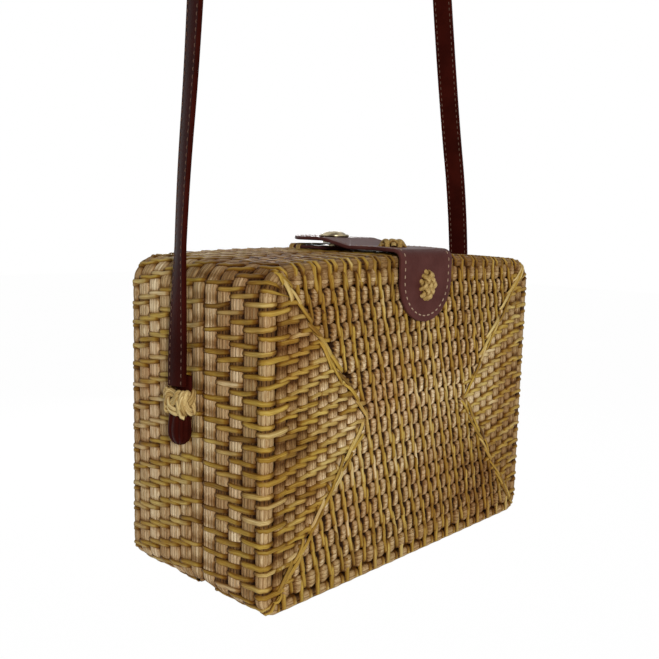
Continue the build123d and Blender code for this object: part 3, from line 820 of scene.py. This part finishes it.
def strip_line(points, bends):
    """Dense line in the YZ plane through corner points, each rounded with its bend radius."""
    points = np.array(points, dtype=float)
    line = [points[0]]
    for before, here, after, radius in zip(points, points[1:], points[2:], bends):
        start, end = unit(before - here), unit(after - here)
        half_turn = (math.pi - math.acos(float(np.clip(start @ end, -1, 1)))) / 2
        reach = radius * math.tan(half_turn)
        for share in np.linspace(0, 1, 12):
            first = here + start * reach * (1 - share)
            second = here + end * reach * share
            line.append(first + (second - first) * share)
    line.append(points[-1])
    return even_points(np.array(line), LINE_STEP)


def line_normals(line):
    """Unit normals of a line in the YZ plane, on its right."""
    tangent = unit(np.gradient(line, axis=0))
    return np.stack([tangent[:, 1], -tangent[:, 0]], axis=1)


def round_corner(x, y, radius):
    """Points of a rounded upper right corner with its tip at (x, y), from its side to its top."""
    turn = np.linspace(0, math.pi / 2, 4)
    return np.stack([x - radius + radius * np.cos(turn),
                     y - radius + radius * np.sin(turn)], axis=1)


def closed_section(corner, top):
    """A section from its upper right corner and its top, mirrored to the left and down."""
    upper = np.vstack([corner, top, corner[::-1] * [-1, 1]])
    return np.vstack([upper, upper[::-1] * [1, -1]])


def leather_strip(pile, line, at, half_width, thickness, cup=0.0):
    """A leather strip along a line in the YZ plane; half_width holds one value per point."""
    normal = line_normals(line)
    half = thickness / 2
    soft = 0.55
    corner = round_corner(0, half, soft)
    flat = np.linspace(0.85, -0.85, 9)
    rows = []
    for i in range(len(line)):
        width = max(half_width[i], 0.05)
        right = np.stack([width + corner[:, 0] * min(1, width), corner[:, 1]], axis=1)
        top = np.stack([flat * (width - soft * min(1, width)), np.full(len(flat), half)], axis=1)
        section = closed_section(right, top)
        curl = cup * (section[:, 0] / 20) ** 2
        rows.append(np.stack([
            section[:, 0],
            line[i, 0] + normal[i, 0] * (section[:, 1] - curl),
            line[i, 1] + normal[i, 1] * (section[:, 1] - curl),
        ], axis=1))
    points = np.array(rows)
    pile.grid(points, lay_values(at[:, None], points[..., 0], 0.5), wrap_cols=True)


def thread_row(pile, points, normals, pitch, radius, tone):
    """Stitches of thread that follow a line of surface points."""
    lengths = lengths_along(points)
    for i in range(int(lengths[-1] / pitch)):
        at = np.linspace((i + STITCH_GAP / 2) * pitch, (i + 1 - STITCH_GAP / 2) * pitch, 5)
        up = points_at(at, lengths, normals)
        rise = np.array([-0.3, 0.05, 0.12, 0.05, -0.3])
        spot = points_at(at, lengths, points) + up * rise[:, None]
        size = radius * np.array([0.5, 1.0, 1.05, 1.0, 0.5])
        strand(pile, spot, up, size, size * 0.8, tone)


def round_end_width(at, half):
    """Half width at each length of a strip that starts with a half-round end."""
    into = np.clip(half - at, 0, half)
    return np.sqrt(np.maximum(half**2 - into**2, 0))


def closure_seam(line, at, face):
    """Points and normals of the stitch row round the half-round end that line starts with."""
    normal = line_normals(line)
    inner = CLOSURE_HALF - SEAM_INSET
    straight = np.arange(at[-1] - 1.5, CLOSURE_HALF, -1.0)
    turn = np.linspace(0, math.pi, 50)
    left = np.stack([np.full(len(straight), -inner), straight], axis=1)
    bend = np.stack([-inner * np.cos(turn), CLOSURE_HALF - inner * np.sin(turn)], axis=1)
    flat_path = np.vstack([left, bend, left[::-1] * [-1, 1]])
    out = unit(points_at(flat_path[:, 1], at, normal)) * face
    spot = points_at(flat_path[:, 1], at, line) + out * LEATHER / 2
    return np.column_stack([flat_path[:, 0], spot]), np.column_stack([0 * out[:, 0], out])


closure_line, closure_at = strip_line(
    ((TAB_Y, TOP_Z - 31.9), (TAB_Y, STRIP_Z + 0.2), (-33.0, STRIP_Z + 0.8),
     (FOLD_Y, STRIP_Z + 0.8), (1.0, FLAP_Z), (19.0, FLAP_Z), (FLAP_END_Y + 0.8, FLAP_Z + 0.6)),
    (EDGE_R + 1.2, 12.0, 12.0, 14.0, 30.0),
)
closure_length = closure_at[-1]
closure_width = np.minimum(
    round_end_width(closure_at, CLOSURE_HALF),
    round_end_width(closure_length - closure_at, CLOSURE_HALF),
)
closure_pile = Pile()
leather_strip(closure_pile, closure_line, closure_at, closure_width, LEATHER, cup=0.25)
closure = closure_pile.build("closure_strip", None, "leather", leather)
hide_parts("closure_tab", "closure_flap")
cut = int(np.searchsorted(closure_line[:, 0], FOLD_Y))
tab_seam = closure_seam(closure_line[:cut], closure_at[:cut], -1)
flap_seam = closure_seam(closure_line[cut:][::-1], closure_length - closure_at[cut:][::-1], 1)
stitches = Pile()
thread_row(stitches, *tab_seam, STITCH_PITCH, 0.38, 0.62)
thread_row(stitches, *flap_seam, STITCH_PITCH, 0.26, 0.35)
closure_thread = stitches.build("closure_thread", None, "leather", thread)
for piece in (closure, closure_thread):
    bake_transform(piece)

tongue_pile = Pile()
tongue_line, tongue_at = strip_line(
    ((SNAP_Y - 13.0, TOP_Z + 1.1), (20.0, TOP_Z + 1.1), (33.0, TOP_Z + 1.1)), (30.0,))
tongue_width = np.minimum(
    round_end_width(tongue_at, 13.0), 9.0 + round_end_width(tongue_at[-1] - tongue_at, 4.0))
leather_strip(tongue_pile, tongue_line[::-1], tongue_at, tongue_width[::-1], 1.6)
tongue = tongue_pile.build("tongue_leather", "back", "leather", leather)
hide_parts("back_tongue")


def lathe(pile, profile, centre):
    """Turned form: (radius, height) points round an upright axis at centre."""
    turn = np.linspace(0, 2 * math.pi, 49)[:-1]
    profile = np.array(profile)
    points = np.stack([
        centre[0] + profile[:, :1] * np.cos(turn),
        centre[1] + profile[:, :1] * np.sin(turn),
        centre[2] + profile[:, 1:] + 0 * turn,
    ], axis=-1)
    pile.grid(points, lay_values(profile[:, :1], turn[None, :], 0.5), wrap_cols=True)


cap_pile = Pile()
lathe(cap_pile, (
    (0.0, 3.15), (1.8, 3.1), (3.4, 2.9), (4.8, 2.5), (5.7, 2.0), (6.15, 1.6), (6.35, 1.35),
    (6.55, 1.3), (6.8, 1.42), (7.2, 1.5), (7.55, 1.3), (7.7, 0.9), (7.65, 0.4), (7.4, 0.05),
    (0.0, 0.0),
), (0.0, SNAP_Y, FLAP_Z + LEATHER / 2))
cap = cap_pile.build("snap_dome", "flap", "snap", brass)
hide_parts("snap_cap")


# Knots of cane

def plaited_knot(pile, centre, across, up, out, size, tone):
    """Three strands each way, over and under, with their ends turned in."""
    share = np.linspace(-1, 1, 29)
    gap = 0.62 * size
    for turn, phase in ((1, 0), (-1, 1)):
        along = (across + turn * up) / math.sqrt(2)
        aside = (across - turn * up) / math.sqrt(2)
        for lane in (-1, 0, 1):
            length = size * (1.22 if lane == 0 else 1.05)
            at = share * length
            wave = np.cos(math.pi * (at / gap + lane + phase))
            height = 1.35 + wave - 2.6 * np.abs(share) ** 6
            drift = lane * gap * (1 - 0.18 * share**2) + 0.15 * np.sin(3 * share + lane + 2 * turn)
            line = centre + at[:, None] * along + drift[:, None] * aside + height[:, None] * out
            # Tone paler where a strand rides over and darker where it dives under: painted
            # highlight and shade.
            strand(pile, line, out, 0.24 * size, 1.05, tone + (0.2 * wave - 0.1)[:, None])


for name, node, centre, across, up, out, size, tone in (
    ("front_plait", "front_knot", (0, FRONT_Y - SURFACE_GAP - LEATHER, TOP_Z - 14.5),
     (0.8, 0, 0), (0, 0, 1.1), (0, -1, 0), 5.4, 0.6),
    ("top_plait", "top_knot", (0, -28, STRIP_Z + 1.3 + LEATHER / 2),
     (1, 0, 0), (0, 1, 0), (0, 0, 1), 5.6, 0.55),
):
    knot = Pile()
    plaited_knot(knot, *(np.array(v, dtype=float) for v in (centre, across, up, out)), size, tone)
    piece = knot.build(name, "front", "cane", knot_cane)
    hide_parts(node)

lashing = Pile()
for y in (22.7, 24.3, 27.7, 29.3):
    line = np.array([
        (-14.0, y, TOP_Z - 0.2), (-14.1, y, TOP_Z + 1.2), (-13.2, y, TOP_Z + 2.3),
        (-6.0, y + 0.2, TOP_Z + 2.5), (0.0, y, TOP_Z + 2.5), (6.0, y - 0.2, TOP_Z + 2.5),
        (13.2, y, TOP_Z + 2.3), (14.1, y, TOP_Z + 1.2), (14.0, y, TOP_Z - 0.2),
    ])
    up = unit(line - np.array([0.0, y, TOP_Z - 6.0]))
    strand(lashing, line, up, 0.75, 0.4, 0.6)
piece = lashing.build("tongue_ties", "back", "cane", knot_cane)
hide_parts("tongue_lashing")


def keep_outside(side):
    """Keeps points of a strap end clear of the woven end wall."""
    def keep(points):
        points = points.copy()
        points[..., 0] = side * np.maximum(side * points[..., 0], HALF_WIDTH + 0.45)
        return points
    return keep


def rounded_square(power):
    """Turns all round, and the X and Y of a square with rounded corners, sharper for less power."""
    turn = np.linspace(0, 2 * math.pi, 97)[:-1]
    x, y = np.cos(turn), np.sin(turn)
    return turn, np.sign(x) * np.abs(x) ** power, np.sign(y) * np.abs(y) ** power


def strap_braid(pile, side):
    """Braid of doubled strands round the folded strap end."""
    turn, square_x, square_y = rounded_square(0.55)
    for i in range(3):
        phase = 4 * turn + 2 * math.pi * i / 3
        for lane in (-1, 1):
            rise = 0.55 * np.sin(2 * phase)
            line = np.stack([
                side * STRAP_X + (3.4 + rise) * square_x,
                STRAP_Y + (6.6 + rise) * square_y,
                KNOT_Z + 4.0 * np.sin(phase) + 0.95 * lane,
            ], axis=1)
            up = np.stack([square_x, square_y, 0 * turn], axis=1)
            strand(pile, line, unit(up), 1.0, 0.95, 0.62 + 0.12 * i + rng.normal(0, 0.05),
                   closed=True, keep=keep_outside(side))
    knot_end = np.array([
        (side * (STRAP_X + 3.6), STRAP_Y - 5.0, KNOT_Z - 3.0),
        (side * (STRAP_X + 4.2), STRAP_Y - 7.2, KNOT_Z - 5.2),
        (side * (STRAP_X + 3.4), STRAP_Y - 8.4, KNOT_Z - 5.6),
    ])
    strand(pile, knot_end, (side, 0, 0), 1.1, 0.95, 0.8)


def strap_tail(pile, side):
    """Gathered leather below the braid, and the short ply above it."""
    drop = np.linspace(0, 1, 26)
    turn, square_x, square_y = rounded_square(0.8)
    belly = np.where(drop < 0.6, 0.86 + 0.14 * np.sin(drop / 0.6 * math.pi / 2),
                     np.sqrt(np.maximum(1 - ((drop - 0.6) / 0.4) ** 2, 0)))[:, None]
    ridge = np.abs(np.cos(4.5 * turn[None, :] + 0.8 * np.sin(3 * drop[:, None]))) ** 0.7
    fold = 0.83 + 0.2 * ridge
    points = np.stack([
        side * STRAP_X + 3.9 * belly * fold * square_x,
        STRAP_Y + 5.9 * belly * fold * square_y,
        (KNOT_Z - 4.5) - TAIL_LENGTH * drop[:, None] + 0 * turn[None, :],
    ], axis=-1)
    points = keep_outside(side)(points)
    pile.grid(points, lay_values(drop[:, None] * TAIL_LENGTH, turn[None, :], 0.5), wrap_cols=True)
    rise = np.linspace(KNOT_Z - 3, KNOT_Z + 11.5, 8)
    stub = np.stack([side * 103.0 + 0 * rise, STRAP_Y - 1.6 + 0 * rise, rise], axis=1)
    strand(pile, stub, (side, 0, 0), 5.4, 1.0, 0.5)


for side, name in ((-1, "left"), (1, "right")):
    braid, tail = Pile(), Pile()
    strap_braid(braid, side)
    strap_tail(tail, side)
    piece = braid.build("strap_braid_" + name, "back", "cane", knot_cane)
    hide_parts("strap_knot_" + name)
    piece = tail.build("strap_tail_" + name, "back", "leather", strap_leather)
    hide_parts("strap_end_" + name)


# Shoulder strap

LEG_X = 105.7
STRAP_HALF = 5.5
STRAP_ROUTE = (
    (-LEG_X, STRAP_Y, 91.3), (-102.0, 6.8, 154.0), (-95.5, 3.4, 252.0), (-78.0, 18.0, 434.0),
    (-73.0, 24.0, 496.0), (-34.0, 29.0, 552.0), (34.0, 29.0, 552.0), (73.0, 26.0, 496.0),
    (78.0, 22.4, 434.0), (93.0, 10.6, 248.0), (101.0, 0.6, 155.0), (LEG_X, STRAP_Y, 91.3),
)

# Twist of each leg in degrees, as heights and the angles there
TWIST_LEFT = ((91, 108, 150, 253, 400), (0, 0, 19, 8, 0))
TWIST_RIGHT = ((91, 120, 150, 260, 420), (0, -8, -25, -25, 0))


def smooth_route(points):
    """Points along a smooth curve through the strap's route, in millimetres."""
    curve = bpy.data.curves.new("strap_route", "CURVE")
    curve.dimensions = "3D"
    curve.resolution_u = 24
    spline = curve.splines.new("NURBS")
    spline.points.add(len(points) - 1)
    for knot, point in zip(spline.points, points):
        knot.co = (*[c * MM for c in point], 1.0)
    spline.order_u = 3
    spline.use_endpoint_u = True
    helper = add_object("strap_route", curve)
    bpy.context.view_layer.update()
    mesh = bpy.data.meshes.new_from_object(helper)
    line = np.array([v.co for v in mesh.vertices]) / MM
    bpy.data.objects.remove(helper)
    bpy.data.meshes.remove(mesh)
    return line


def strap_frame(line):
    """Outward normal and width direction at each point of the strap, with its twist."""
    tangent = unit(np.gradient(line, axis=0))
    left = np.interp(line[:, 2], *TWIST_LEFT)
    right = np.interp(line[:, 2], *TWIST_RIGHT)
    twist = np.radians(np.where(line[:, 0] < 0, left, right))
    width = np.stack([np.sin(twist), np.cos(twist), 0 * twist], axis=1)
    width = unit(width - tangent * np.sum(tangent * width, axis=1)[:, None])
    return np.cross(tangent, width), width


def ribbon_section(half_width, half_thick, radius):
    """Closed section of a flat strap with rounded edges and slightly crowned faces."""
    top = np.array([[half_width * 0.72, half_thick - 0.12], [half_width * 0.5, half_thick + 0.1],
                    [0, half_thick + 0.2], [-half_width * 0.5, half_thick + 0.1],
                    [-half_width * 0.72, half_thick - 0.12]])
    return closed_section(round_corner(half_width, half_thick, radius), top)


strap_line, strap_at = even_points(smooth_route(STRAP_ROUTE), 3.0)
strap_out, strap_side = strap_frame(strap_line)
section = ribbon_section(STRAP_HALF, 1.1, 0.5)
strap_pile = Pile()
strap_grid = (strap_line[:, None, :]
              + strap_side[:, None, :] * section[None, :, 0, None]
              + strap_out[:, None, :] * section[None, :, 1, None])
strap_lay = lay_values(strap_at[:, None], section[None, :, 0], 0.5)
strap_pile.grid(strap_grid, strap_lay, wrap_cols=True)
strap = strap_pile.build("shoulder_strap", "back", "leather", strap_leather)
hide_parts("strap")
seams = Pile()
for face in (-1, 1):
    for edge in (-1, 1):
        row = strap_line + strap_out * face + strap_side * edge * 4.0
        thread_row(seams, row, strap_out * face, 3.2, 0.24, 0.1)
strap_thread = seams.build("strap_thread", "back", "leather", thread)


# Lining

LINING_INSET = 5.9
LINING_ROUND = 2.0
LINING_SINK = 0.3


def lining_ring(y, inset, ripple):
    """Points round the inside of the bag at one depth, slightly rippled, and their lengths."""
    along = np.linspace(0, RING_LENGTH, 300, endpoint=False)
    x, z, nx, nz = [np.interp(along, RING_AT, RING[:, i]) for i in range(4)]
    wave = np.sin(along / 9.0 + 0.08 * y) + 0.7 * np.sin(along / 4.3 - 0.2 * y)
    wave += 0.5 * np.sin(along / 23.0)
    offset = inset + ripple * wave
    return np.stack([x - nx * offset, 0 * along + y, z - nz * offset], axis=1), along


def cloth_lining(tray, body, node):
    """Cotton glued inside a tray, with a rolled hem round its mouth."""
    low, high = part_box(node)
    mouth, bottom = (low[1] / MM, high[1] / MM) if tray.way > 0 else (high[1] / MM, low[1] / MM)
    bottom = bottom - tray.way * LINING_SINK
    cloth, hem = Pile(), Pile()
    rows, lengths = [], []
    for share in np.linspace(0, 1, 14):
        y = mouth + share * (bottom - tray.way * LINING_ROUND - mouth)
        ring, along = lining_ring(y, LINING_INSET, 0.06)
        rows.append(ring)
        lengths.append(share * abs(bottom - mouth))
    for turn in np.radians((30, 60, 90)):
        y = bottom - tray.way * LINING_ROUND * (1 - math.sin(turn))
        ring, along = lining_ring(y, LINING_INSET + LINING_ROUND * (1 - math.cos(turn)), 0.05)
        rows.append(ring)
        lengths.append(lengths[-1] + 1.0)
    rim = rows[-1]
    centre = np.array([0.0, bottom, CENTRE_Z])
    for share in np.linspace(1, 0, 26)[1:]:
        ring = centre + (rim - centre) * max(share, 0.004)
        pucker = np.sin(ring[:, 0] / 11.0 + 1.0) * np.sin(ring[:, 2] / 13.0) * (1 - share**4)
        ring[:, 1] -= tray.way * 0.35 * (1 + pucker)
        rows.append(ring)
        lengths.append(lengths[-1] + 3.0)
    grid = np.array(rows)
    cloth.grid(grid, lay_values(np.array(lengths)[:, None], along[None, :], 0.5), wrap_cols=True)
    piece = cloth.build("lining_" + body, body, "lining", cotton)
    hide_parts(node)
    ring = lining_ring(mouth + tray.way * 0.6, LINING_INSET + 0.1, 0.06)[0]
    inward = unit(np.array([0.0, mouth, CENTRE_Z]) - ring)
    strand(hem, ring, inward, 0.9, 0.5, 0.5, closed=True)
    edge = hem.build("hem_" + body, body, "lining", cotton)


cloth_lining(front, "front", "front_lining")
cloth_lining(back, "back", "back_lining")


# Materials of the solids that stay

for node, material in (
    ("back_rim", rod_cane), ("front_rim", rod_cane),
    ("hinge_binding_left", tie_cane), ("hinge_binding_right", tie_cane),
    ("snap_socket", brass), ("snap_stud", brass),
):
    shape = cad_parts[node]
    shape.data.materials.clear()
    shape.data.materials.append(material)


# Stage, light and camera. The bag hangs by its strap over the floor; these sizes are in metres.

FLOOR_Z = -0.3
FLOOR_HALF = 6.0
LIT_SHARE = 0.97


def seen_directly(tree):
    """1 for rays of the camera, of reflections and through glass, 0 for the others."""
    path = tree.nodes.new("ShaderNodeLightPath")
    total = path.outputs["Is Camera Ray"]
    for name in ("Is Glossy Ray", "Is Transmission Ray"):
        total = math_node(tree, "MAXIMUM", total, path.outputs[name])
    return total


def stage_material(name, colour):
    """Pale to the object, and nearly white with a faint shadow to the camera."""
    material, tree, shader = new_material(name, {"Base Color": (*colour, 1.0), "Roughness": 0.9})
    light = add_node(tree, "ShaderNodeEmission", Color=(1.0, 1.0, 1.0, 1.0), Strength=1.01)
    share = math_node(tree, "MULTIPLY", seen_directly(tree), LIT_SHARE)
    mix_shaders(tree, share, shader, light, tree.nodes["Material Output"].inputs["Surface"])
    return material


floor_mesh = bpy.data.meshes.new("floor")
floor_mesh.from_pydata(
    [(x * FLOOR_HALF, y * FLOOR_HALF, FLOOR_Z) for x, y in ((-1, -1), (1, -1), (1, 1), (-1, 1))],
    [], [(0, 1, 2, 3)])
floor_mesh.materials.append(stage_material("floor_white", (0.85, 0.85, 0.85)))
floor = add_object("floor", floor_mesh)

world = bpy.data.worlds.new("studio")
bpy.context.scene.world = world
world.use_nodes = True
tree = world.node_tree
dim = tree.nodes["Background"]
dim.inputs["Color"].default_value = (1.0, 1.0, 1.0, 1.0)
dim.inputs["Strength"].default_value = 0.34
white = add_node(tree, "ShaderNodeBackground", Color=(1.0, 1.0, 1.0, 1.0), Strength=1.0)
mix_shaders(tree, seen_directly(tree), dim, white, tree.nodes["World Output"].inputs["Surface"])


def area_light(name, spot, target, size, power):
    """A square area lamp at spot, aimed at target."""
    lamp = bpy.data.lights.new(name, "AREA")
    lamp.energy = power
    lamp.size = size
    holder = add_object(name, lamp)
    holder.location = spot
    aim = Vector(target) - Vector(spot)
    holder.rotation_euler = aim.to_track_quat("-Z", "Y").to_euler()


area_light("key", (-0.75, -1.15, 0.42), (0.0, 0.0, 0.07), 0.16, 12.0)
area_light("back", (1.1, 1.3, 0.2), (0.0, 0.0, 0.07), 0.5, 11.0)

YAW, PITCH, ROLL = (math.radians(a) for a in (46.929, -7.395, 1.506))
FOCAL_PX = 803.7
IMAGE = 659
ahead = math.cos(PITCH)
forward = Vector((math.sin(YAW) * ahead, math.cos(YAW) * ahead, math.sin(PITCH)))
level = Vector((math.cos(YAW), -math.sin(YAW), 0.0))
upright = level.cross(forward)
right = level * math.cos(ROLL) + upright * math.sin(ROLL)
up = upright * math.cos(ROLL) - level * math.sin(ROLL)
camera_data = bpy.data.cameras.new("camera")
camera_data.sensor_width = 36.0
camera_data.lens = 36.0 * FOCAL_PX / IMAGE
camera_data.clip_start = 0.01
camera = add_object("camera", camera_data)
spot = Vector((-309.0, -276.2, 161.5)) * MM
camera.matrix_world = Matrix.Translation(spot) @ Matrix((right, up, -forward)).transposed().to_4x4()
bpy.context.scene.camera = camera

bpy.context.scene.view_settings.view_transform = "Standard"
